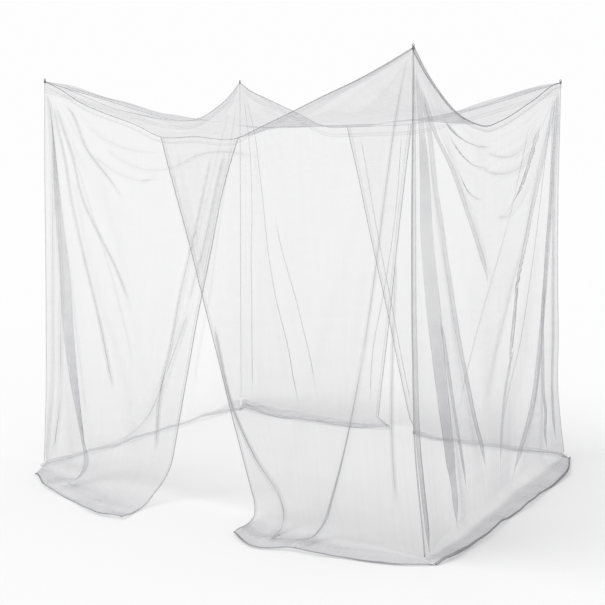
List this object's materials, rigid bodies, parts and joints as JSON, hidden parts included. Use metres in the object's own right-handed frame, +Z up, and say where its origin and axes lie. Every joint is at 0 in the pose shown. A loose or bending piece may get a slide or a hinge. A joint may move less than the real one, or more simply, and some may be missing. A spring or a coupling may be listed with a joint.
{
  "type": "mosquito net canopy",
  "caption": "Box-shaped sheer bed net hung by its corners: sagging roof, overlapping curtains drawn apart on both long sides, closed short sides, hems puddled on the floor.",
  "frame": {"origin": "on the floor under the middle of the whole net's box, puddled hems included", "axes": "+Z up, +X along the long sides, +Y from the front long side to the back one; the wider puddles and the larger doorway are at -Y"},
  "size_m": [2.2966, 2.0246, 2.0592],
  "materials": {
    "net": "sheer white knitted polyester net, matte",
    "tape": "doubled strip of the same white net, matte",
    "loop": "grey braided cord"
  },
  "bodies": {
    "root": {"roof_panel": "net", "front_left_curtain": "net", "front_right_curtain": "net", "back_left_curtain": "net", "back_right_curtain": "net", "left_side": "net", "right_side": "net", "front_heading_tape": "tape", "back_heading_tape": "tape", "left_heading_tape": "tape", "right_heading_tape": "tape", "loop_front_left": "loop", "loop_front_right": "loop", "loop_back_left": "loop", "loop_back_right": "loop"}
  },
  "joints": []
}
